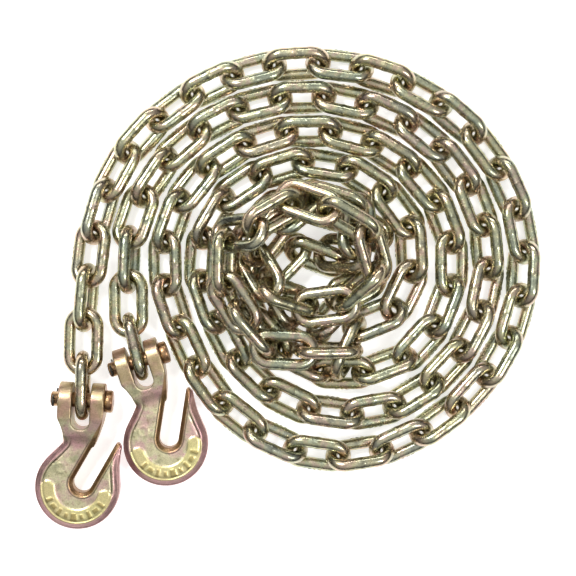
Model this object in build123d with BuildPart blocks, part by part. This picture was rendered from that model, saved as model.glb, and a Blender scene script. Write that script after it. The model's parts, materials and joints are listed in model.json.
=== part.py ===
from build123d import *
import os
from math import asin, atan2, ceil, cos, degrees, floor, pi, radians, sin

import numpy as np

# A transport chain of round steel wire, coiled up on the floor, with a clevis grab hook on each end.
# The floor is z = 0. The coil's middle is the origin while the chain is laid, and the whole
# object is moved at the end so that the middle of its footprint is the origin.

# Driving sizes of the chain, in millimetres and degrees.
wire = 8.7
inside_length = 32.8
side_play = 3.0
joint_slack = 1.42
heap_slack = 2.6
lay_roll = 45.0
roll_per_turn = 0.4
end_twist_links = 5

# Driving sizes of the coil.
coil_radius_x = 155.6
coil_radius_y = 143.8
ring_step_x = 25.5
ring_step_y = 24.0
step_in_begin = 0.69
step_in_end = 0.95
strand_a_turns = 2.5
strand_b_turns = 1.62
free_links_a = 8
links_in_group = 3

# Driving sizes of the hook. Its frame has the clevis pin along X and the load along +Y.
hook_thickness = 14.5
bowl_radius = 30.3
bowl_centre = (-0.6, -62.5)
throat_width = 13.6
throat_centre = (2.9, -59.4)
throat_lean = 27.0
rim_width = 2.6
rim_step = 2.0
pad_height = 0.7
pad_width = 10.5
pad_margin = 4.05
ear_thickness = 10.0
ear_radius = 12.7
clevis_gap = 13.0
crotch_depth = 20.3
neck_start = -12.0
neck_end = -33.0

# Driving sizes of the clevis pin and its cotter.
pin_play = 1.2
pin_clearance = 0.5
head_diameter = 16.0
head_height = 5.3
pin_tail = 6.0
head_gap = 0.2
cotter_wire = 2.8
cotter_clearance = 0.4
cotter_eye = 7.0
cotter_leg = 6.0
cotter_offset = 3.1
floor_gap = 0.3
hook_a_skew = -2.5
hook_b_skew = 4.5

# Sizes worked out from the driving ones.
bar_radius = (side_play + 2 * wire) / 2
half_straight = (inside_length + wire) / 2 - bar_radius
clevis_half = clevis_gap / 2 + ear_thickness
pin_reach = clevis_half + pin_tail
pin_diameter = side_play + wire - pin_play
pad_radius = bowl_radius - pad_margin - pad_width / 2


def lay_height(roll):
    """Height of a chain's centre line when its steepest links lie rolled this far."""
    return bar_radius * sin(radians(roll)) + wire / 2


level = lay_height(lay_roll)


# ---- the route of the chain's centre line ----


def ease(value):
    value = min(max(value, 0.0), 1.0)
    return value * value * (3 - 2 * value)


def ring_index(turn, first_ring):
    """Rings count inwards from 0. A strand runs level with a ring, then moves in by two late in the turn."""
    whole = floor(turn)
    ring = first_ring + 2 * whole
    begin = step_in_begin - 0.05 * ring
    return ring + 2 * ease((turn - whole - begin) / (step_in_end - begin))


def strand(first_ring, turns, steps_in_turn=120):
    """Points of one strand of the double spiral, clockwise and inwards from its left-hand side."""
    points = []
    steps = ceil(turns * steps_in_turn)
    for step in range(steps + 1):
        turn = turns * step / steps
        ring = ring_index(turn, first_ring)
        angle = 2 * pi * turn
        x = -(coil_radius_x - ring_step_x * ring) * cos(angle)
        y = (coil_radius_y - ring_step_y * ring) * sin(angle)
        points.append(Vector(x, y, level))
    return points


# Where the ends leave the coil, from each hook's pin inwards.
end_a = [(-161.6, -103.6), (-161.2, -68.0), (-160.4, -36.0), (-158.4, -12.0)]
end_b = [(-118.5, -86.0), (-128.6, -44.0), (-130.3, -24.0)]
# The middle of the chain before it drops into a heap: along the floor, across the middle as it
# climbs, once and a half round above itself, and out over the inner rings to the floor again.
heap = [
    (54, -14, 12), (46, -32, 12), (26, -46, 12), (0, -50, 12), (-24, -41, 12), (-36, -20, 12),
    (-28, 0, 12), (-8, 10, 18), (14, 6, 32), (34, 4, 46), (50, 18, 52), (40, 38, 54), (16, 44, 55),
    (-10, 40, 56), (-34, 22, 58), (-42, -6, 62), (-28, -30, 67), (-2, -38, 71), (26, -32, 75),
    (44, -10, 79), (44, 18, 81), (24, 40, 82), (-4, 48, 82), (-34, 38, 80), (-56, 14, 74),
    (-66, -14, 62), (-60, -42, 50), (-38, -64, 40), (-8, -74, 28), (22, -72, 18),
]


def distances(points):
    total = [0.0]
    for a, b in zip(points, points[1:]):
        total.append(total[-1] + (b - a).length)
    return total


def end_twist(links_from_end):
    """Extra roll near a hook, which brings the last link up on edge to enter the clevis."""
    return (90 - lay_roll) * max(0.0, 1 - max(links_from_end, 0.0) / end_twist_links)


def chain_route():
    start = [Vector(x, y, level) for x, y in end_a] + strand(0, strand_a_turns)
    finish = [Vector(x, y, level) for x, y in end_b] + strand(1, strand_b_turns)
    flat = start + [Vector(*point) for point in heap] + finish[::-1]
    along = distances(flat)
    pitch = inside_length - joint_slack
    lifted = []
    for point, s in zip(flat, along):
        from_end = min(s, along[-1] - s) / pitch - 0.5
        rise = lay_height(lay_roll + end_twist(from_end)) - level
        lifted.append(Vector(point.X, point.Y, point.Z + rise))
    return lifted, along[len(start)], along[len(start) + len(heap)]


# ---- laying the links ----


def next_joint(points, start, index, pitch):
    """The first place on the route, from segment index on, that is one pitch from start."""
    for i in range(index, len(points) - 1):
        a, b = points[i], points[i + 1]
        if (b - start).length < pitch:
            continue
        low, high = 0.0, 1.0
        while high - low > 1e-7:
            middle = (low + high) / 2
            if (a + (b - a) * middle - start).length < pitch:
                low = middle
            else:
                high = middle
        return a + (b - a) * high, i
    return None, index


def clockwise(a, b):
    """How far direction b is turned clockwise from a, seen from above, in degrees."""
    return degrees(atan2(a.Y * b.X - a.X * b.Y, a.X * b.X + a.Y * b.Y))


def rolled_side(along, roll):
    """Direction across a link that runs along, with its left side raised by roll."""
    left = Vector(0, 0, 1).cross(along).normalized()
    up = along.cross(left)
    return left * cos(radians(roll)) + up * sin(radians(roll))


def in_plane(direction, along, across):
    return (along * direction.dot(along) + across * direction.dot(across)).normalized()


def hooked_centre(last, along, across, slack):
    """Centre of a link whose near bend hangs in the far bend of the last link, with slack between."""
    last_centre, last_along, last_across = last
    last_out = in_plane(along, last_along, last_across)
    out = in_plane(last_along * -1, along, across)
    last_tangent = last_along.cross(last_across).cross(last_out)
    tangent = along.cross(across).cross(out)
    normal = last_tangent.cross(tangent).normalized()
    if normal.dot(last_along) < 0:
        normal = normal * -1
    touch = last_centre + last_along * half_straight + last_out * bar_radius
    return touch - normal * (wire + slack) - out * bar_radius + along * half_straight


def lay_chain(last_side):
    """Centre, length direction and width direction of every link, and the numbers of the heap's links."""
    points, heap_from, heap_to = chain_route()
    along_route = distances(points)
    links = []
    loose = []
    joint, index = points[0], 0
    while True:
        in_heap = heap_from - 190 < along_route[index] < heap_to + 60
        slack = heap_slack if in_heap else joint_slack
        pitch = inside_length - slack
        target, index_next = next_joint(points, joint, index, pitch)
        if target is None:
            return links, loose
        along = (target - joint).normalized()
        beyond, _ = next_joint(points, target, index_next, pitch)
        ahead = (beyond - target).normalized() if beyond else along
        behind = links[-1][1] if links else along
        turn = min(max(clockwise(behind, ahead) / 2, -60.0), 60.0)
        side = 1 if len(links) % 2 == 0 else -1
        left_over = (along_route[-1] - along_route[index]) / pitch - 1.2
        roll = side * lay_roll + roll_per_turn * turn + end_twist(len(links)) + last_side * end_twist(left_over)
        across = rolled_side(along, roll)
        if links:
            centre = hooked_centre(links[-1], along, across, slack)
        else:
            centre = joint + along * (pitch / 2)
        if heap_from - 260 < along_route[index] < heap_to + 200:
            loose.append(len(links))
        links.append((centre, along, across))
        joint = centre + along * (pitch / 2)
        index = index_next


# ---- letting the heap settle ----


def centre_line(bend_steps=8, bar_steps=3):
    """Points round the centre line of a link's wire, in the link's own frame."""
    points = []
    for end in (1, -1):
        for step in range(bend_steps + 1):
            angle = pi * step / bend_steps - pi / 2
            points.append((end * (half_straight + bar_radius * cos(angle)), end * bar_radius * sin(angle), 0))
        for step in range(1, bar_steps):
            points.append((end * half_straight * (1 - 2 * step / bar_steps), end * bar_radius, 0))
    return np.array(points)


def nearest(p0, p1, q0, q1):
    """Nearest points of the segments p0 p1 and q0 q1."""
    p, q, r = p1 - p0, q1 - q0, p0 - q0
    pp, qq, pq = (p * p).sum(-1), (q * q).sum(-1), (p * q).sum(-1)
    pr, qr = (p * r).sum(-1), (q * r).sum(-1)
    s = np.clip((pq * qr - pr * qq) / np.maximum(pp * qq - pq * pq, 1e-9), 0, 1)
    t = np.clip((pq * s + qr) / qq, 0, 1)
    s = np.clip((pq * t - pr) / pp, 0, 1)
    return p0 + p * s[..., None], q0 + q * t[..., None]


def turned(frame, turn):
    """A frame of three unit rows, turned by a small rotation vector."""
    moved = frame + np.cross(turn, frame)
    first = moved[0] / np.linalg.norm(moved[0])
    second = moved[1] - first * moved[1].dot(first)
    second = second / np.linalg.norm(second)
    return np.array([first, second, np.cross(first, second)])


def settle(links, loose, drop_rounds=280, part_rounds=600, drop=0.22, gap=0.55, inertia=140.0):
    """Drop the loose links and push them off each other, the other links and the floor, round by round."""
    centres = np.array([tuple(link[0]) for link in links])
    frames = np.array([[tuple(a), tuple(b), tuple(a.cross(b))] for _, a, b in links])
    moves = np.zeros(len(links), bool)
    moves[loose] = True
    outline = centre_line()
    for step in range(drop_rounds + part_rounds):
        if step < drop_rounds:
            centres[moves, 2] -= drop
        wires = np.einsum("mk,nkj->nmj", outline, frames) + centres[:, None]
        ends = np.roll(wires, -1, 1)
        apart = np.linalg.norm(centres[:, None] - centres[None], axis=-1)
        near = np.triu(apart < 2 * (half_straight + bar_radius) + wire, 1)
        one, two = np.where(near & (moves[:, None] | moves[None]))
        p, q = nearest(wires[one][:, :, None], ends[one][:, :, None], wires[two][:, None], ends[two][:, None])
        away = p - q
        distance = np.maximum(np.linalg.norm(away, axis=-1), 1e-6)
        pair, i, j = np.where(distance < wire + gap)
        depth = wire + gap - distance[pair, i, j]
        normal = away[pair, i, j] / distance[pair, i, j][:, None]
        shift = np.zeros((len(links), 3))
        twist = np.zeros((len(links), 3))
        weight = np.full(len(links), 1e-6)
        sides = [(one[pair], two[pair], 1, p[pair, i, j]), (two[pair], one[pair], -1, q[pair, i, j])]
        low, at = np.where((wires[:, :, 2] < wire / 2) & moves[:, None])
        pushes = []
        for body, other, sign, place in sides:
            share = np.where(moves[other], 0.5, 1.0) * moves[body]
            pushes.append((body, sign * normal * (depth * share)[:, None], place, depth))
        floor_depth = wire / 2 - wires[low, at, 2]
        pushes.append((low, floor_depth[:, None] * np.array([0, 0, 1.0]), wires[low, at], floor_depth))
        for body, push, place, deep in pushes:
            np.add.at(shift, body, push * deep[:, None])
            np.add.at(twist, body, np.cross(place - centres[body], push) / inertia * deep[:, None])
            np.add.at(weight, body, deep)
        shift = 0.8 * shift / weight[:, None]
        twist = 0.8 * twist / weight[:, None]
        for body in loose:
            centres[body] += shift[body] / max(1.0, np.linalg.norm(shift[body]))
            frames[body] = turned(frames[body], twist[body] / max(1.0, np.linalg.norm(twist[body]) / 0.06))
    return [(Vector(*c), Vector(*f[0]), Vector(*f[1])) for c, f in zip(centres, frames)]


# ---- solids ----

with BuildPart() as chain_link:
    with BuildLine() as wire_line:
        Line((-half_straight, bar_radius), (half_straight, bar_radius))
        CenterArc((half_straight, 0), bar_radius, -90, 180)
        Line((half_straight, -bar_radius), (-half_straight, -bar_radius))
        CenterArc((-half_straight, 0), bar_radius, 90, 180)
    with BuildSketch(Plane(origin=(0, bar_radius, 0), z_dir=(1, 0, 0))):
        Circle(wire / 2)
    sweep()


def place_of(centre, along, across):
    return Location(Plane(origin=centre, x_dir=along, z_dir=along.cross(across)))


# The hook's outline seen square to its face: shank, bowl and the arm with its tip, round the throat.
# The shank's foot and the arm stand on the bowl's edge, so they follow its radius.
shank_foot = (bowl_centre[0] - 0.76 * bowl_radius, bowl_centre[1] + 0.656 * bowl_radius)
arm_x = bowl_centre[0] + bowl_radius
shank_line = [
    (-12.4, -22.7), (-11.5, -29.5), (-16.4, -35.2), shank_foot, (-20.0, -62.0), (6.0, -50.0), (14.6, -22.7),
]
arm_line = [
    (arm_x, bowl_centre[1]), (arm_x - 1.4, -47.0), (arm_x - 0.8, -38.5), (arm_x, -32.6), (arm_x - 1.8, -29.3),
    (arm_x - 4.3, -29.6), (8.0, -60.0),
]
with BuildSketch() as hook_outline:
    with Locations(bowl_centre):
        Circle(bowl_radius)
    for corners in (shank_line, arm_line):
        with BuildLine():
            Polyline(*corners, close=True)
        make_face()
    with Locations(Location((*throat_centre, 0), (0, 0, -throat_lean))):
        Circle(throat_width / 2, mode=Mode.SUBTRACT)
        with Locations((0, bowl_radius)):
            Rectangle(throat_width, 2 * bowl_radius, mode=Mode.SUBTRACT)
with BuildSketch() as raised_outline:
    add(hook_outline.sketch)
    offset(amount=-rim_width, kind=Kind.INTERSECTION)

# The ears and the neck: their front view, kept where it also lies inside their side view.
with BuildPart() as yoke:
    with BuildSketch() as yoke_front:
        with BuildLine():
            Polyline(
                (-clevis_half, ear_radius), (clevis_half, ear_radius), (clevis_half, -9.0),
                (15.4, -16.0), (12.6, -26.0), (10.0, neck_end), (-11.5, neck_end), (-12.4, -22.7),
                (-14.2, -17.0), (-clevis_half, -12.0), close=True,
            )
        make_face()
    extrude(amount=ear_radius, both=True)
    with BuildSketch(Plane.YZ):
        Circle(ear_radius)
        with BuildLine():
            Polyline(
                (0, ear_radius), (neck_start, ear_radius - 0.6), (neck_end, hook_thickness / 2),
                (neck_end, -hook_thickness / 2), (neck_start, 0.6 - ear_radius), (0, -ear_radius), close=True,
            )
        make_face()
    extrude(amount=clevis_half, both=True, mode=Mode.INTERSECT)

with BuildPart() as grab_hook:
    add(hook_outline.sketch)
    extrude(amount=hook_thickness / 2 - rim_step, both=True)
    extrude(raised_outline.sketch, amount=hook_thickness / 2, both=True)
    # crescent pad on each face, round the bottom of the bowl
    with BuildSketch():
        with Locations(bowl_centre):
            Circle(pad_radius + pad_width / 2)
            Circle(pad_radius - pad_width / 2, mode=Mode.SUBTRACT)
            with Locations((0, bowl_radius)):
                Rectangle(2 * bowl_radius, 2 * bowl_radius, mode=Mode.SUBTRACT)
    extrude(amount=hook_thickness / 2 + pad_height, both=True)
    add(yoke.part)
    # the clevis gap with its round bottom, and the hole for the pin
    with BuildSketch():
        with Locations((0, clevis_gap / 2 - crotch_depth)):
            Circle(clevis_gap / 2)
        with Locations((0, (ear_radius + clevis_gap / 2 - crotch_depth) / 2)):
            Rectangle(clevis_gap, ear_radius + crotch_depth - clevis_gap / 2 + 0.02)
    extrude(amount=2 * ear_radius, both=True, mode=Mode.SUBTRACT)
    with BuildSketch(Plane.YZ):
        Circle((pin_diameter + pin_clearance) / 2)
    extrude(amount=2 * clevis_half, both=True, mode=Mode.SUBTRACT)

# Clevis pin: head on the +X side, plain tail with a cross hole on the other.
cotter_x = -(clevis_half + cotter_offset)
with BuildPart() as clevis_pin:
    with BuildSketch(Plane.YZ.offset(-pin_reach)):
        Circle(pin_diameter / 2)
    extrude(amount=pin_reach + clevis_half + head_gap)
    with BuildSketch(Plane.YZ.offset(clevis_half + head_gap)):
        Circle(head_diameter / 2)
    extrude(amount=head_height)
    chamfer(faces().sort_by(Axis.X)[-1].edges(), 0.8)
    chamfer(faces().sort_by(Axis.X)[0].edges(), 0.8)
    with BuildSketch(Plane.XY):
        with Locations((cotter_x, 0)):
            Circle((cotter_wire + cotter_clearance) / 2)
    extrude(amount=pin_diameter, both=True, mode=Mode.SUBTRACT)

# Cotter: an eye over the pin, a shank through its hole, and two legs bent apart under it.
leg_root = -(pin_diameter / 2 + cotter_wire * 0.9)
eye_height = pin_diameter / 2 + cotter_eye / 2 + cotter_wire / 2 + 0.4
with BuildPart() as cotter_pin:
    with BuildSketch(Plane.XY.offset(leg_root)):
        with Locations((cotter_x, 0)):
            Circle(cotter_wire / 2)
    extrude(amount=eye_height - cotter_eye / 2 + cotter_wire / 2 - leg_root)
    with Locations((cotter_x, 0, leg_root)):
        Sphere(cotter_wire / 2)
    with Locations(Location((cotter_x, 0, eye_height), (0, 90, 0))):
        Torus(cotter_eye / 2, cotter_wire / 2)
    for side in (1, -1):
        with BuildLine() as leg:
            Line((cotter_x, 0, leg_root), (cotter_x, side * cotter_leg * 0.8, leg_root - cotter_leg * 0.35))
        with BuildSketch(Plane(origin=leg.line @ 0, z_dir=leg.line % 0)):
            Circle(cotter_wire / 2)
        sweep(path=leg.line)

# ---- the chain, laid and settled ----

links, loose = lay_chain(1)
if abs(links[-1][2].Z) < abs(links[-2][2].Z):
    links, loose = lay_chain(-1)
links = settle(links, loose)
lowest = min((centre_line() @ np.array([tuple(a), tuple(b), tuple(a.cross(b))]) + tuple(c))[:, 2].min()
             for c, a, b in links)
sink = Vector(0, 0, lowest - wire / 2)
links = [(centre - sink, along, across) for centre, along, across in links]


def hook_place(pin, load, skew):
    """Where a hook lies: pin centre, load direction over the floor and its far rim just off the floor."""
    reach = pad_radius + pad_width / 2 - bowl_centre[1]
    fall = asin((pin.Z - hook_thickness / 2 - pad_height - floor_gap) / reach)
    level_load = Vector(load.X, load.Y, 0).normalized().rotate(Axis.Z, skew)
    pin_axis = level_load.cross(Vector(0, 0, 1))
    upward = level_load * cos(fall) + Vector(0, 0, 1) * sin(fall)
    return Location(Plane(origin=pin, x_dir=pin_axis, z_dir=pin_axis.cross(upward)))


first_centre, first_along, _ = links[0]
last_centre, last_along, _ = links[-1]
places = {
    "a": hook_place(first_centre - first_along * half_straight, first_along, hook_a_skew),
    "b": hook_place(last_centre + last_along * half_straight, last_along * -1, hook_b_skew),
}

# ---- the pieces in their places ----

pieces = {}
for end, place in places.items():
    with BuildPart() as hook:
        with Locations(place):
            add(grab_hook.part)
    pieces["grab_hook_" + end] = hook.part
    with BuildPart() as pin:
        with Locations(place):
            add(clevis_pin.part)
    pieces["clevis_pin_" + end] = pin.part
    with BuildPart() as cotter:
        with Locations(place):
            add(cotter_pin.part)
    pieces["cotter_pin_" + end] = cotter.part

groups = [[number] for number in range(free_links_a)]
inner = list(range(free_links_a, len(links) - 1))
groups += [inner[at:at + links_in_group] for at in range(0, len(inner), links_in_group)]
groups += [[len(links) - 1]]
for group in groups:
    with BuildPart() as run:
        for number in group:
            with Locations(place_of(*links[number])):
                add(chain_link.part)
    name = f"chain_link_{group[0] + 1:03d}"
    if len(group) > 1:
        name = f"chain_links_{group[0] + 1:03d}_to_{group[-1] + 1:03d}"
    pieces[name] = run.part

# The middle of the footprint becomes the origin, with the floor at z = 0.
box = Compound(list(pieces.values())).bounding_box()
centred = Location((-(box.min.X + box.max.X) / 2, -(box.min.Y + box.max.Y) / 2, -box.min.Z))
os.makedirs("parts", exist_ok=True)
for name, piece in pieces.items():
    placed = piece.moved(centred)
    placed.label = name
    export_step(placed, f"parts/{name}.step")
print("links", len(links), "length of the chain in mm", round(len(links) * inside_length))
print("overall size", box.size)
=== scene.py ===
import json
import random
from math import cos, exp, pi, radians, sin, tau

import bmesh
import bpy
import numpy as np
from mathutils import Matrix, Vector, kdtree


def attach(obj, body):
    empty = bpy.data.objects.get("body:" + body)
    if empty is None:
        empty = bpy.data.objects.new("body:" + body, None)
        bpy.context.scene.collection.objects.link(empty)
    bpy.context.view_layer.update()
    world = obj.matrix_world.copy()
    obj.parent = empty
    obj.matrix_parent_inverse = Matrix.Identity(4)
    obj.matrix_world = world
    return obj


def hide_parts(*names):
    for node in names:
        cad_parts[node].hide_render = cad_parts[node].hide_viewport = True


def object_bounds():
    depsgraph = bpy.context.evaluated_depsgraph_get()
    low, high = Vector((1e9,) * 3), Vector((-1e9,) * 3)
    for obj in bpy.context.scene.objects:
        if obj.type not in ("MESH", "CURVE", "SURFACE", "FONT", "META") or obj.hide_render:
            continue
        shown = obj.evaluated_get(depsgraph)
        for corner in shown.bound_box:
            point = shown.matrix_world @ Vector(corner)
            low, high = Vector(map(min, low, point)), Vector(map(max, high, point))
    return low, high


# A coiled transport chain with a clevis grab hook on each end, lying on a pale floor.
# Shapes are made in millimetres in a piece's own frame and placed in metres where the CAD piece lies.

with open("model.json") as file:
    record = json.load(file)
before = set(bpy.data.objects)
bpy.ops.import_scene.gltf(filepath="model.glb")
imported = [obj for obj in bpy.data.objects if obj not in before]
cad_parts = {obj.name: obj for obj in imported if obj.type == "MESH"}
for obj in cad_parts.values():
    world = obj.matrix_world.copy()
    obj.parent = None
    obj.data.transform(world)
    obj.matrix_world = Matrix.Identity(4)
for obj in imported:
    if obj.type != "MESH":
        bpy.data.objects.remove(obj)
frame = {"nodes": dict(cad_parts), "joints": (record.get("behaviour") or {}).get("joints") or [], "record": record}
cad_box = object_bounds()
MM = 0.001

# Chain link, in millimetres: wire, half length of the straight bars and radius of the crowns' middle line.
WIRE = 8.7
HALF_STRAIGHT = 10.55
CROWN_RADIUS = 10.2
WIRE_SIDES = 24
BAR_STEPS = 16
CROWN_STEPS = 18
WELD_HEIGHT = 0.22
WELD_WIDTH = 1.5
MARK_SIZE = (2.4, 1.0, 0.5)
MARK_SPACING = 3.6
MARK_LEAN = 38

# Grab hook, in millimetres, with the pin along X at the origin and the load along +Y.
THICKNESS = 14.5
BOWL_CENTRE = Vector((-0.6, -62.5))
SLOT_CENTRE = Vector((2.9, -59.4))
SLOT_WIDTH = 13.6
SLOT_LEAN = radians(27)
HOOK_VOXEL = 0.5
BAND_WIDTH = 4.2
BAND_DROP = 2.3
BEVEL_WIDTH = 3.3
BEVEL_DROP = 2.2
PAD_RADIUS = 21.0
PAD_WIDTH = 10.5
PAD_HEIGHT = 0.7
PAD_FROM = radians(-178)
PAD_TO = radians(-16)
BLOCKS = 9
BLOCK_HEIGHT = 0.45
ROUNDEL_CENTRE = Vector((-12.6, -48.5))
ROUNDEL_RADIUS = 3.4
YOKE_END = -30.0
ARM_START = Vector((22.0, -52.0))

RIDGE_HEIGHT, RIDGE_WIDTH = 0.30, 0.55
GROOVE_DEPTH, GROOVE_WIDTH = 0.6, 0.6
BEVEL_GROOVE_DEPTH, BEVEL_GROOVE_WIDTH = 0.25, 0.5
ROUNDEL_HEIGHT, ROUNDEL_LINE = 0.35, 0.6
ARM_ROOT_HALF, ARM_TIP_THINNER, ARM_ROOF_SLOPE = 4.1, 0.9, 0.55
NECK_CENTRE = (0.0, -27.0)
# each part of the hook that has its own tone, plus the painted shade in its grooves: its attribute, how strong the
# tone is, and the tone
HOOK_PARTS = [
    ("pad", 0.8, "#eadf9c"), ("blocks", 0.6, "#9c8548"), ("ears", 0.6, "#a98763"),
    # groove is not a tone of the metal: it paints shade, a dark brown line in the creases of the rim's groove and
    # the throat's groove
    ("band", 0.85, "#c99b9c"), ("groove", 0.85, "#3f2c1c"), ("throat", 0.85, "#a07c50"),
]

# Clevis pin and cotter, in millimetres, in the hook's frame.
PIN_RADIUS = 5.25
PIN_TAIL = -22.5
HEAD_RADIUS = 8.0
HEAD_START = 16.7
HEAD_END = 22.0
COTTER_X = -19.6
COTTER_WIRE = 1.35


# ---- shared helpers ----


def smooth_step(value, low, high):
    part = np.clip((value - low) / (high - low), 0.0, 1.0)
    return part * part * (3 - 2 * part)


def linear(code):
    """A hex sRGB colour as linear red, green, blue and alpha."""
    parts = [int(code[at:at + 2], 16) / 255 for at in (1, 3, 5)]
    return tuple(c / 12.92 if c <= 0.04045 else ((c + 0.055) / 1.055) ** 2.4 for c in parts) + (1.0,)


def coordinates(mesh):
    values = np.empty(len(mesh.vertices) * 3)
    mesh.vertices.foreach_get("co", values)
    return values.reshape(-1, 3)


def set_attribute(mesh, name, values):
    attribute = mesh.attributes.get(name) or mesh.attributes.new(name, "FLOAT", "POINT")
    attribute.data.foreach_set("value", np.asarray(values, np.float32))


def smooth_shaded(mesh):
    mesh.polygons.foreach_set("use_smooth", [True] * len(mesh.polygons))


def piece(name, mesh, body, material, nodes):
    """Links a finished mesh as a piece that rides on a body and stands for the CAD nodes."""
    made = bpy.data.objects.new(name, mesh)
    bpy.context.scene.collection.objects.link(made)
    mesh.materials.clear()
    mesh.materials.append(material)
    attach(made, body)
    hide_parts(*nodes)
    return made


def add_node(tree, kind, settings=None, inputs=None):
    """Adds a node with its settings, and sets or links its inputs by name or number."""
    node = tree.nodes.new(kind)
    for key, value in (settings or {}).items():
        setattr(node, key, value)
    for key, value in (inputs or {}).items():
        if isinstance(value, bpy.types.NodeSocket):
            tree.links.new(value, node.inputs[key])
        else:
            node.inputs[key].default_value = value
    return node


def ramp(tree, value, stops):
    """A colour ramp with (position, hex colour) stops."""
    node = add_node(tree, "ShaderNodeValToRGB", inputs={"Fac": value})
    elements = node.color_ramp.elements
    while len(elements) < len(stops):
        elements.new(0.5)
    for element, (position, code) in zip(elements, stops):
        element.position = position
        element.color = linear(code)
    return node.outputs["Color"]


# ---- materials ----


def grain(tree, place, size_mm, detail=2.0, roughness=0.5):
    """Noise whose features are about size_mm across, from 0 to 1."""
    return add_node(tree, "ShaderNodeTexNoise", inputs={
        "Vector": place, "Scale": 1 / (size_mm * MM), "Detail": detail, "Roughness": roughness,
    }).outputs["Fac"]


def attribute(tree, name):
    return add_node(tree, "ShaderNodeAttribute", {"attribute_name": name}).outputs["Fac"]


def math_node(tree, operation, a, b, clamp=False):
    return add_node(tree, "ShaderNodeMath", {"operation": operation, "use_clamp": clamp},
                    {0: a, 1: b}).outputs[0]


def mixed(tree, factor, a, b, blend="MIX"):
    """Two colours mixed. Colours are sockets or linear values."""
    return add_node(tree, "ShaderNodeMix", {"data_type": "RGBA", "blend_type": blend},
                    {0: factor, 6: a, 7: b}).outputs[2]


def mapped(tree, value, low, high, to_low, to_high):
    return add_node(tree, "ShaderNodeMapRange", inputs={
        "Value": value, "From Min": low, "From Max": high, "To Min": to_low, "To Max": to_high,
    }).outputs[0]


def plated_metal(name, tones, rough, patch_mm, grain_mm, bump_mm, tinted=None):
    """A metal whose thin chromate film drifts between tones in patches of patch_mm.

    tinted takes the tree, the drifting colour and the object coordinates, and returns the final colour.
    """
    material = bpy.data.materials.new(name)
    material.use_nodes = True
    tree = material.node_tree
    tree.nodes.clear()
    place = add_node(tree, "ShaderNodeTexCoord").outputs["Object"]
    drift = grain(tree, place, patch_mm, 3.0, 0.55)
    colour = ramp(tree, drift, tones)
    if tinted:
        colour = tinted(tree, colour, place)
    fine = grain(tree, place, grain_mm, 4.0, 0.6)
    shade = mapped(tree, fine, 0.3, 0.7, 0.78, 1.12)
    shade = add_node(tree, "ShaderNodeCombineColor", inputs={0: shade, 1: shade, 2: shade}).outputs[0]
    colour = mixed(tree, 1.0, colour, shade, "MULTIPLY")
    roughness = mapped(tree, grain(tree, place, patch_mm * 0.4, 3.0), 0.3, 0.7, rough[0], rough[1])
    bump = add_node(tree, "ShaderNodeBump", inputs={
        "Strength": 0.5, "Distance": bump_mm * MM, "Height": fine,
    }).outputs["Normal"]
    shader = add_node(tree, "ShaderNodeBsdfPrincipled", inputs={
        "Base Color": colour, "Metallic": 1.0, "Roughness": roughness, "Normal": bump,
    })
    add_node(tree, "ShaderNodeOutputMaterial", inputs={"Surface": shader.outputs[0]})
    return material


def link_tint(tree, colour, place):
    """Golden inner crowns, pinkish outer crowns and a slightly different tone on every link."""
    crown = attribute(tree, "crown")
    inner = attribute(tree, "inner")
    tone = ramp(tree, attribute(tree, "tint"), [
        (0.0, "#b3bba8"), (0.3, "#cfd0b0"), (0.55, "#c3bf9e"), (0.8, "#d0bdac"), (1.0, "#c2c5b4"),
    ])
    colour = mixed(tree, 0.42, colour, tone)
    pink = math_node(tree, "MULTIPLY", crown, grain(tree, place, 16.0))
    pink = mapped(tree, pink, 0.34, 0.62, 0.0, 0.4)
    colour = mixed(tree, pink, colour, linear("#d8b09c"))
    gold = math_node(tree, "MULTIPLY", crown, inner)
    gold = mapped(tree, gold, 0.05, 0.7, 0.0, 0.6)
    colour = mixed(tree, gold, colour, linear("#8e8148"))
    scorch = math_node(tree, "MULTIPLY", attribute(tree, "weld"), grain(tree, place, 1.6))
    return mixed(tree, mapped(tree, scorch, 0.36, 0.6, 0.0, 0.45), colour, linear("#4f4838"))


def painted(tree, colour, name, share, code):
    """The colour with a share of another one where the attribute is 1."""
    return mixed(tree, math_node(tree, "MULTIPLY", attribute(tree, name), share), colour, linear(code))


def hook_tint(tree, colour, place):
    """Mauve outer band, brown throat, a yellow pad and painted shade along the grooves, on the forging's paler
    face.
    """
    blotch = grain(tree, place, 13.0, 3.0)
    colour = mixed(tree, mapped(tree, blotch, 0.46, 0.62, 0.0, 0.7), colour, linear("#dbadaf"))
    colour = painted(tree, colour, "neck", 0.55, "#dba3aa")
    speck = mapped(tree, grain(tree, place, 2.2, 2.0), 0.60, 0.68, 0.0, 0.45)
    colour = mixed(tree, speck, colour, linear("#9a8560"))
    for name, share, code in HOOK_PARTS:
        colour = painted(tree, colour, name, share, code)
    return colour


# Zinc-plated low-alloy steel, passivated yellow: a semi-bright metal whose film gives olive, gold and pink.
link_steel = plated_metal(
    "yellow_chromate_link_steel",
    [
        (0.34, "#788072"), (0.44, "#a9ad92"), (0.52, "#c2bb90"), (0.60, "#c9a698"), (0.70, "#8d8a72"),
    ],
    rough=(0.17, 0.32), patch_mm=11.0, grain_mm=1.1, bump_mm=0.10, tinted=link_tint,
)
# The same film on a drop forging, whose faintly pitted skin scatters more and holds more yellow.
hook_steel = plated_metal(
    "yellow_chromate_forged_steel",
    [(0.34, "#b8b592"), (0.46, "#d6cfa6"), (0.56, "#e2dab4"), (0.68, "#d8b5ac")],
    rough=(0.30, 0.46), patch_mm=9.0, grain_mm=0.9, bump_mm=0.14, tinted=hook_tint,
)
# The same film on a turned pin, thicker and so more copper than gold.
pin_steel = plated_metal(
    "yellow_chromate_turned_steel",
    [(0.32, "#80604a"), (0.5, "#a98562"), (0.68, "#cdb184")],
    rough=(0.26, 0.38), patch_mm=5.0, grain_mm=0.8, bump_mm=0.06,
)
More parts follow.
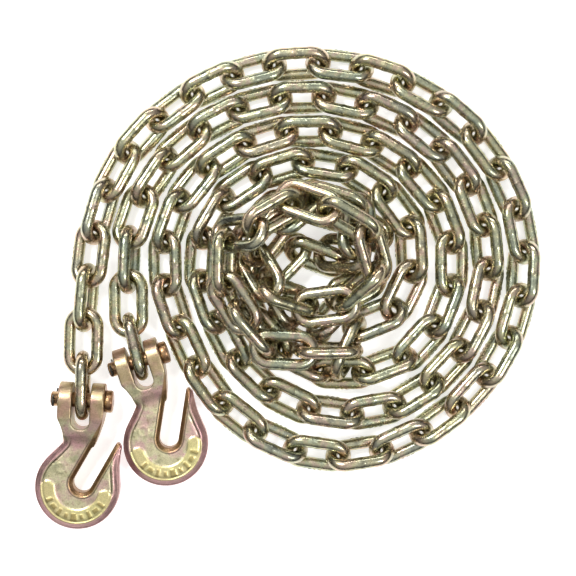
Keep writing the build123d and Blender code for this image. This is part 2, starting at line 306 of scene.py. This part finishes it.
# Drawn steel wire with a dull grey skin.
cotter_steel = plated_metal(
    "drawn_cotter_wire",
    [(0.35, "#3d3b37"), (0.65, "#5d5a52")],
    rough=(0.35, 0.5), patch_mm=3.0, grain_mm=0.6, bump_mm=0.04,
)


# ---- chain links ----


def ring_edges(bm, verts):
    chosen = set(verts)
    return [e for e in bm.edges if e.verts[0] in chosen and e.verts[1] in chosen]


def run_bar(bm, verts, length):
    """Extrudes a circle of the wire in BAR_STEPS along X, and returns the last circle."""
    for _ in range(BAR_STEPS):
        made = bmesh.ops.extrude_edge_only(bm, edges=ring_edges(bm, verts))
        verts = [g for g in made["geom"] if isinstance(g, bmesh.types.BMVert)]
        bmesh.ops.translate(bm, verts=verts, vec=(length / BAR_STEPS, 0, 0))
    return verts


def run_crown(bm, verts, centre_x):
    """Spins a circle of the wire half a turn about a crown's centre, and returns the last circle."""
    made = bmesh.ops.spin(bm, geom=verts + ring_edges(bm, verts), cent=(centre_x, 0, 0), axis=(0, 0, -1),
                          angle=pi, steps=CROWN_STEPS)
    return [g for g in made["geom_last"] if isinstance(g, bmesh.types.BMVert)]


def link_template():
    """One link in its own frame, in millimetres: X along it and Y across it, with its weld and marks."""
    bm = bmesh.new()
    start = Matrix.Translation((-HALF_STRAIGHT, CROWN_RADIUS, 0)) @ Matrix.Rotation(pi / 2, 4, "Y")
    made = bmesh.ops.create_circle(bm, segments=WIRE_SIDES, radius=WIRE / 2, matrix=start)
    verts = run_bar(bm, made["verts"], 2 * HALF_STRAIGHT)
    verts = run_crown(bm, verts, HALF_STRAIGHT)
    verts = run_bar(bm, verts, -2 * HALF_STRAIGHT)
    run_crown(bm, verts, -HALF_STRAIGHT)
    bmesh.ops.remove_doubles(bm, verts=bm.verts, dist=0.01)
    bmesh.ops.recalc_face_normals(bm, faces=bm.faces)
    # the upset weld stands proud all round the middle of one bar
    for v in bm.verts:
        if v.co.y > 0 and abs(v.co.x) < HALF_STRAIGHT:
            out = Vector((0, v.co.y - CROWN_RADIUS, v.co.z)) / (WIRE / 2)
            v.co += out * WELD_HEIGHT * exp(-(v.co.x / WELD_WIDTH) ** 2)
    # plain raised marks on the other bar, both faces
    for face in (1, -1):
        for number in (-1, 0, 1):
            turn = Matrix.Rotation(radians(face * MARK_LEAN), 4, "X")
            place = (Matrix.Translation((number * MARK_SPACING, -CROWN_RADIUS, 0)) @ turn
                     @ Matrix.Translation((0, 0, face * (WIRE / 2 + 0.02)))
                     @ Matrix.Diagonal((*MARK_SIZE, 1)))
            cube = bmesh.ops.create_cube(bm, size=1, matrix=place)
            edges = list({e for v in cube["verts"] for e in v.link_edges})
            bmesh.ops.bevel(bm, geom=edges, offset=0.15, segments=1, profile=0.5, affect="EDGES", material=-1)
    mesh = bpy.data.meshes.new("link_template")
    bm.to_mesh(mesh)
    bm.free()
    smooth_shaded(mesh)
    place = coordinates(mesh)
    along = np.abs(place[:, 0])
    reach = np.hypot(np.maximum(along - HALF_STRAIGHT, 0), place[:, 1])
    set_attribute(mesh, "crown", smooth_step(along, HALF_STRAIGHT * 0.7, HALF_STRAIGHT + CROWN_RADIUS))
    set_attribute(mesh, "inner", smooth_step(CROWN_RADIUS - reach, 0.0, WIRE / 2))
    weld = np.exp(-(place[:, 0] / (2 * WELD_WIDTH)) ** 2) * (place[:, 1] > 0)
    set_attribute(mesh, "weld", weld)
    set_attribute(mesh, "tint", np.zeros(len(place)))
    return mesh


def loose_solids(node):
    """The separate solids of a CAD node, each as an array of triangles' corners."""
    mesh = frame["nodes"][node].data
    mesh.calc_loop_triangles()
    corners = np.empty(len(mesh.loop_triangles) * 3, int)
    mesh.loop_triangles.foreach_get("vertices", corners)
    place = coordinates(mesh)
    _, same = np.unique(np.round(place / (0.002 * MM)).astype(np.int64), axis=0, return_inverse=True)
    triangles = same.ravel()[corners].reshape(-1, 3)
    label = np.arange(triangles.max() + 1)
    while True:
        before = label.copy()
        np.minimum.at(label, triangles, label[triangles].min(axis=1)[:, None])
        label = label[label]
        if (label == before).all():
            break
    solid = label[triangles[:, 0]]
    points = place[corners].reshape(-1, 3, 3)
    return [points[solid == one] for one in np.unique(solid)]


def link_frame(triangles):
    """Where a link lies, from its solid's centre of volume and principal axes."""
    origin = triangles.reshape(-1, 3).mean(axis=0)
    a, b, c = np.moveaxis(triangles - origin, 1, 0)
    volume = np.einsum("ij,ij->i", a, np.cross(b, c))
    total = a + b + c
    centre = (volume[:, None] * total).sum(axis=0) / volume.sum() / 4
    spread = sum(np.einsum("i,ij,ik->jk", volume, p, p) for p in (a, b, c, total)) / volume.sum() / 20
    spread -= np.outer(centre, centre)
    _, axes = np.linalg.eigh(spread)
    along, across = Vector(axes[:, 2]), Vector(axes[:, 1])
    across = across if across.z > 0 else -across
    along = along if along.x + 0.1 * along.y > 0 else -along
    turned = Matrix((along, across, along.cross(across))).transposed().to_4x4()
    turned.translation = Vector(centre + origin)
    return turned


def link_pieces():
    template = link_template()
    chance = random.Random(7)
    bodies = frame["record"]["behaviour"]["bodies"]
    for body, nodes in bodies.items():
        for node in sorted(n for n in nodes if n.startswith("chain_link")):
            bm = bmesh.new()
            for solid in loose_solids(node):
                copy = template.copy()
                copy.transform(link_frame(solid) @ Matrix.Scale(MM, 4))
                set_attribute(copy, "tint", np.full(len(copy.vertices), chance.random()))
                bm.from_mesh(copy)
                bpy.data.meshes.remove(copy)
            mesh = bpy.data.meshes.new(node.replace("chain_link", "welded_link"))
            bm.to_mesh(mesh)
            bm.free()
            smooth_shaded(mesh)
            piece(mesh.name, mesh, body, link_steel, [node])
    bpy.data.meshes.remove(template)


# ---- grab hooks ----

joints = {j["name"]: j for j in frame["joints"]}
mounts = {m["name"]: m for m in frame["record"]["mounts"]}


def hook_place(end):
    """The hook's frame in millimetres as a matrix to the row frame in metres."""
    pin = Vector(joints[f"pin_{end}_spin"]["pos_m"])
    across = Vector(joints[f"pin_{end}_spin"]["axis"]).normalized()
    load = pin - Vector(mounts[f"hook_{end}_seat"]["pos_m"])
    load = (load - across * load.dot(across)).normalized()
    turned = Matrix((across, load, across.cross(load))).transposed().to_4x4()
    turned.translation = pin
    return turned @ Matrix.Scale(MM, 4)


def remeshed(mesh, voxel, smoothing):
    """The closed mesh in even quads of voxel size, with its edges softened."""
    made = bpy.data.objects.new("work", mesh)
    bpy.context.scene.collection.objects.link(made)
    modifier = made.modifiers.new("remesh", "REMESH")
    modifier.mode = "VOXEL"
    modifier.voxel_size = voxel
    bpy.context.view_layer.update()
    result = bpy.data.meshes.new_from_object(made.evaluated_get(bpy.context.evaluated_depsgraph_get()))
    bpy.data.objects.remove(made)
    bm = bmesh.new()
    bm.from_mesh(result)
    for _ in range(smoothing):
        bmesh.ops.smooth_vert(
            bm, verts=bm.verts, factor=0.5, use_axis_x=True, use_axis_y=True, use_axis_z=True,
        )
    bm.to_mesh(result)
    bm.free()
    return result


def slot_distance(place):
    """Distance in the hook's plane from the slot's middle line, which runs out of the throat."""
    way = np.array([sin(SLOT_LEAN), cos(SLOT_LEAN)])
    off = place[:, :2] - np.array(SLOT_CENTRE)
    along = np.maximum(off @ way, 0)
    return np.linalg.norm(off - along[:, None] * way, axis=1)


def edge_depths(place):
    """How far each vertex lies inside the outer edge and from the throat's wall."""
    slot = slot_distance(place)
    rim = (np.abs(place[:, 2]) < 0.6 * HOOK_VOXEL) & (slot > SLOT_WIDTH / 2 + 0.6) & (place[:, 1] < -12)
    tree = kdtree.KDTree(int(rim.sum()))
    for number, point in enumerate(place[rim]):
        tree.insert((point[0], point[1], 0), number)
    tree.balance()
    outer = np.array([tree.find((x, y, 0))[2] for x, y in place[:, :2]])
    return outer, slot - SLOT_WIDTH / 2


def pad_mask(place):
    """1 on the crescent pad round the bottom of the bowl, and how far inside its edge."""
    off = place[:, :2] - np.array(BOWL_CENTRE)
    angle = np.arctan2(off[:, 1], off[:, 0])
    middle = np.clip(np.where(angle > pi / 2, angle - tau, angle), PAD_FROM, PAD_TO)
    nearest = PAD_RADIUS * np.stack([np.cos(middle), np.sin(middle)], axis=1)
    away = np.linalg.norm(off - nearest, axis=1)
    return smooth_step(PAD_WIDTH / 2 - away, -0.3, 0.5)


def block_mask(place):
    """1 on the plain raised blocks that stand in a row along the pad."""
    off = place[:, :2] - np.array(BOWL_CENTRE)
    angle = np.arctan2(off[:, 1], off[:, 0])
    radius = np.linalg.norm(off, axis=1)
    result = np.zeros(len(place))
    first, last = PAD_FROM + radians(24), PAD_TO - radians(16)
    for number in range(BLOCKS):
        at = first + (last - first) * number / (BLOCKS - 1)
        wide = 2.1 if number % 3 == 1 else 1.2
        tall = 1.6 if number % 2 else 2.7
        side = np.abs((angle - at) * PAD_RADIUS)
        up = np.abs(radius - PAD_RADIUS)
        result = np.maximum(result, smooth_step(wide - side, -0.3, 0.3) * smooth_step(tall - up, -0.3, 0.3))
    return result


def plate_height(place, outer, slot):
    """Half thickness of the plate: sloping band, ridge and groove, throat bevel, pad and thin arm."""
    height = np.full(len(place), THICKNESS / 2 - 0.15)
    height -= BAND_DROP * (1 - smooth_step(outer, 0.0, BAND_WIDTH))
    height += RIDGE_HEIGHT * np.exp(-((outer - BAND_WIDTH - 0.1) / RIDGE_WIDTH) ** 2)
    groove = np.exp(-((outer - BAND_WIDTH - 1.5) / GROOVE_WIDTH) ** 2)
    height -= GROOVE_DEPTH * groove * smooth_step(slot, 3.0, 6.0)
    height -= BEVEL_DROP * (1 - smooth_step(slot, 0.0, BEVEL_WIDTH))
    height -= BEVEL_GROOVE_DEPTH * np.exp(-((slot - BEVEL_WIDTH - 0.5) / BEVEL_GROOVE_WIDTH) ** 2)
    height += PAD_HEIGHT * pad_mask(place) + BLOCK_HEIGHT * block_mask(place)
    ring = np.abs(np.linalg.norm(place[:, :2] - np.array(ROUNDEL_CENTRE), axis=1) - ROUNDEL_RADIUS)
    height += ROUNDEL_HEIGHT * np.exp(-(ring / ROUNDEL_LINE) ** 2)
    arm = smooth_step(place[:, 1], ARM_START.y, -30.0) * smooth_step(place[:, 0], 14.0, ARM_START.x - 2)
    roof = np.minimum(outer, np.maximum(slot, 0)) * ARM_ROOF_SLOPE
    return height * (1 - arm) + (ARM_ROOT_HALF - ARM_TIP_THINNER * arm + roof) * arm


def hook_template():
    """The forged hook in its own frame, in millimetres, shaped from the plain CAD hook."""
    mesh = frame["nodes"]["grab_hook_a"].data.copy()
    mesh.transform(hook_place("a").inverted())
    bm = bmesh.new()
    bm.from_mesh(mesh)
    bmesh.ops.remove_doubles(bm, verts=bm.verts, dist=0.002)
    bm.to_mesh(mesh)
    bm.free()
    mesh = remeshed(mesh, HOOK_VOXEL, 2)
    place = coordinates(mesh)
    outer, slot = edge_depths(place)
    inside = smooth_step(-place[:, 1], -YOKE_END - 6, -YOKE_END + 4)
    target = plate_height(place, outer, slot)
    high = np.abs(place[:, 2])
    steep = smooth_step(high, THICKNESS / 2 - 3.4, THICKNESS / 2 - 2.4)
    moved = high + (target - high) * steep * inside
    place[:, 2] = np.sign(place[:, 2]) * moved
    mesh.vertices.foreach_set("co", place.ravel())
    mesh = remeshed(mesh, HOOK_VOXEL, 3)
    smooth_shaded(mesh)
    place = coordinates(mesh)
    outer, slot = edge_depths(place)
    inside = smooth_step(-place[:, 1], -YOKE_END - 4, -YOKE_END + 2)
    face = smooth_step(np.abs(place[:, 2]), THICKNESS / 2 - 4.5, THICKNESS / 2 - 3.0)
    set_attribute(mesh, "band", (1 - smooth_step(outer, BAND_WIDTH - 0.3, BAND_WIDTH + 0.5)) * inside)
    set_attribute(mesh, "throat", 1 - smooth_step(slot, BEVEL_WIDTH - 0.6, BEVEL_WIDTH + 0.2))
    set_attribute(mesh, "pad", pad_mask(place) * face)
    set_attribute(mesh, "blocks", block_mask(place) * face)
    # painted shade: a dark line along the groove inside the band and the groove beside the throat's bevel, kept in
    # the groove attribute
    rim_groove_shade = np.exp(-((outer - BAND_WIDTH - 1.2) / 0.55) ** 2) * smooth_step(slot, 3.0, 6.0)
    throat_groove_shade = np.exp(-((slot - BEVEL_WIDTH - 0.4) / 0.45) ** 2)
    set_attribute(mesh, "groove", np.maximum(rim_groove_shade, throat_groove_shade) * inside * face * (1 - pad_mask(place)))
    set_attribute(mesh, "ears", smooth_step(place[:, 1], -16.0, -9.0))
    neck = np.linalg.norm(place[:, :2] - np.array(NECK_CENTRE), axis=1)
    set_attribute(mesh, "neck", 1 - smooth_step(neck, 4.0, 10.0))
    return mesh


def hook_pieces():
    template = hook_template()
    for end in "ab":
        mesh = template.copy()
        mesh.name = f"forged_hook_{end}"
        mesh.transform(hook_place(end))
        piece(mesh.name, mesh, f"hook_{end}", hook_steel, [f"grab_hook_{end}"])
    bpy.data.meshes.remove(template)


# ---- clevis pins and cotters ----


def pin_mesh():
    """A headed pin turned about X, with rounded edges on its head and tail."""
    outline = [
        (PIN_TAIL, 0.0), (PIN_TAIL, PIN_RADIUS - 1.3), (PIN_TAIL + 0.3, PIN_RADIUS - 0.5),
        (PIN_TAIL + 1.0, PIN_RADIUS), (-2.0, PIN_RADIUS), (HEAD_START, PIN_RADIUS),
        (HEAD_START, HEAD_RADIUS - 0.6),
        (HEAD_START + 0.2, HEAD_RADIUS - 0.15), (HEAD_START + 0.6, HEAD_RADIUS),
        (HEAD_END - 1.5, HEAD_RADIUS), (HEAD_END - 0.7, HEAD_RADIUS - 0.3),
        (HEAD_END - 0.2, HEAD_RADIUS - 1.2), (HEAD_END, HEAD_RADIUS - 2.6), (HEAD_END, 0.0),
    ]
    bm = bmesh.new()
    verts = [bm.verts.new((x, r, 0)) for x, r in outline]
    edges = [bm.edges.new(pair) for pair in zip(verts, verts[1:])]
    bmesh.ops.spin(bm, geom=verts + edges, cent=(0, 0, 0), axis=(1, 0, 0), angle=tau, steps=48,
                   use_merge=True)
    bmesh.ops.remove_doubles(bm, verts=bm.verts, dist=0.01)
    bmesh.ops.recalc_face_normals(bm, faces=bm.faces)
    mesh = bpy.data.meshes.new("turned_pin")
    bm.to_mesh(mesh)
    bm.free()
    smooth_shaded(mesh)
    mesh.set_sharp_from_angle(angle=radians(40))
    return mesh


def cotter_mesh():
    """A split cotter: its eye above the pin, and its two legs through it and bent apart below."""
    half = [
        (6.0, -10.2), (4.2, -9.4), (2.0, -8.4), (0.9, -7.2), (0.72, -5.0), (0.7, 0.0), (0.72, 5.4),
        (1.2, 7.0), (3.0, 8.6), (3.6, 10.6), (2.6, 13.0), (0.0, 14.1),
    ]
    route = half + [(-y, z) for y, z in reversed(half[:-1])]
    curve = bpy.data.curves.new("cotter", "CURVE")
    curve.dimensions = "3D"
    curve.bevel_depth = COTTER_WIRE / 2
    curve.bevel_resolution = 4
    curve.use_fill_caps = True
    spline = curve.splines.new("NURBS")
    spline.points.add(len(route) - 1)
    for point, (y, z) in zip(spline.points, route):
        point.co = (COTTER_X, y, z, 1)
    spline.order_u = 3
    spline.use_endpoint_u = True
    spline.resolution_u = 6
    made = bpy.data.objects.new("cotter", curve)
    bpy.context.scene.collection.objects.link(made)
    bpy.context.view_layer.update()
    mesh = bpy.data.meshes.new_from_object(made.evaluated_get(bpy.context.evaluated_depsgraph_get()))
    bpy.data.objects.remove(made)
    smooth_shaded(mesh)
    return mesh


def pin_pieces():
    for end in "ab":
        for mesh, name, material, slot_name, node in (
            (pin_mesh(), "turned_pin", pin_steel, "pin_steel", "clevis_pin"),
            (cotter_mesh(), "split_cotter", cotter_steel, "cotter_steel", "cotter_pin"),
        ):
            mesh.transform(hook_place(end))
            mesh.name = f"{name}_{end}"
            piece(mesh.name, mesh, f"pin_{end}", material, [f"{node}_{end}"])


# ---- floor, lights and camera ----


def floor():
    """A pale seamless floor, a little brighter than its light alone makes it."""
    bm = bmesh.new()
    bmesh.ops.create_grid(bm, x_segments=2, y_segments=2, size=3.0)
    mesh = bpy.data.meshes.new("floor")
    bm.to_mesh(mesh)
    bm.free()
    made = bpy.data.objects.new("floor", mesh)
    bpy.context.scene.collection.objects.link(made)
    paper = bpy.data.materials.new("white_paper")
    paper.use_nodes = True
    tree = paper.node_tree
    tree.nodes.clear()
    shader = add_node(tree, "ShaderNodeBsdfPrincipled", inputs={
        "Base Color": linear("#f2f2f2"), "Roughness": 0.9, "Emission Color": (1, 1, 1, 1),
        "Emission Strength": 0.6,
    })
    add_node(tree, "ShaderNodeOutputMaterial", inputs={"Surface": shader.outputs[0]})
    mesh.materials.append(paper)


def light(name, place, size, power, target=(0, 0, 0)):
    """A soft rectangular light that faces the target."""
    lamp = bpy.data.lights.new(name, "AREA")
    lamp.shape = "RECTANGLE"
    lamp.size, lamp.size_y = size
    lamp.energy = power
    made = bpy.data.objects.new(name, lamp)
    made.location = place
    made.rotation_euler = (Vector(target) - Vector(place)).to_track_quat("-Z", "Y").to_euler()
    bpy.context.scene.collection.objects.link(made)


def studio():
    floor()
    light("key", (-0.45, 0.45, 1.0), (0.25, 0.25), 8)
    light("fill", (0.6, -0.3, 1.0), (0.15, 0.5), 4)
    light("strip", (0.0, 1.0, 0.7), (1.0, 0.1), 3)
    world = bpy.data.worlds.new("studio")
    world.use_nodes = True
    tree = world.node_tree
    tree.nodes.clear()
    way = add_node(tree, "ShaderNodeTexCoord").outputs["Generated"]
    up = add_node(tree, "ShaderNodeSeparateXYZ", inputs={0: way}).outputs["Z"]
    bright = mapped(tree, up, 0.25, 0.95, 0.03, 0.75)
    sky = add_node(tree, "ShaderNodeBackground", inputs={"Color": (1, 1, 1, 1), "Strength": bright})
    add_node(tree, "ShaderNodeOutputWorld", inputs={"Surface": sky.outputs[0]})
    bpy.context.scene.world = world


def camera():
    """Straight above the coil, far enough away for little perspective."""
    low, high = cad_box
    middle = (low + high) / 2
    lens = bpy.data.cameras.new("camera")
    lens.lens = 100
    made = bpy.data.objects.new("camera", lens)
    wide = max(high.x - low.x, high.y - low.y) * 1.12
    made.location = (middle.x, middle.y, wide * lens.lens / lens.sensor_width + high.z / 2)
    bpy.context.scene.collection.objects.link(made)
    bpy.context.scene.camera = made


link_pieces()
hook_pieces()
pin_pieces()
studio()
camera()
bpy.context.scene.view_settings.view_transform = "Standard"
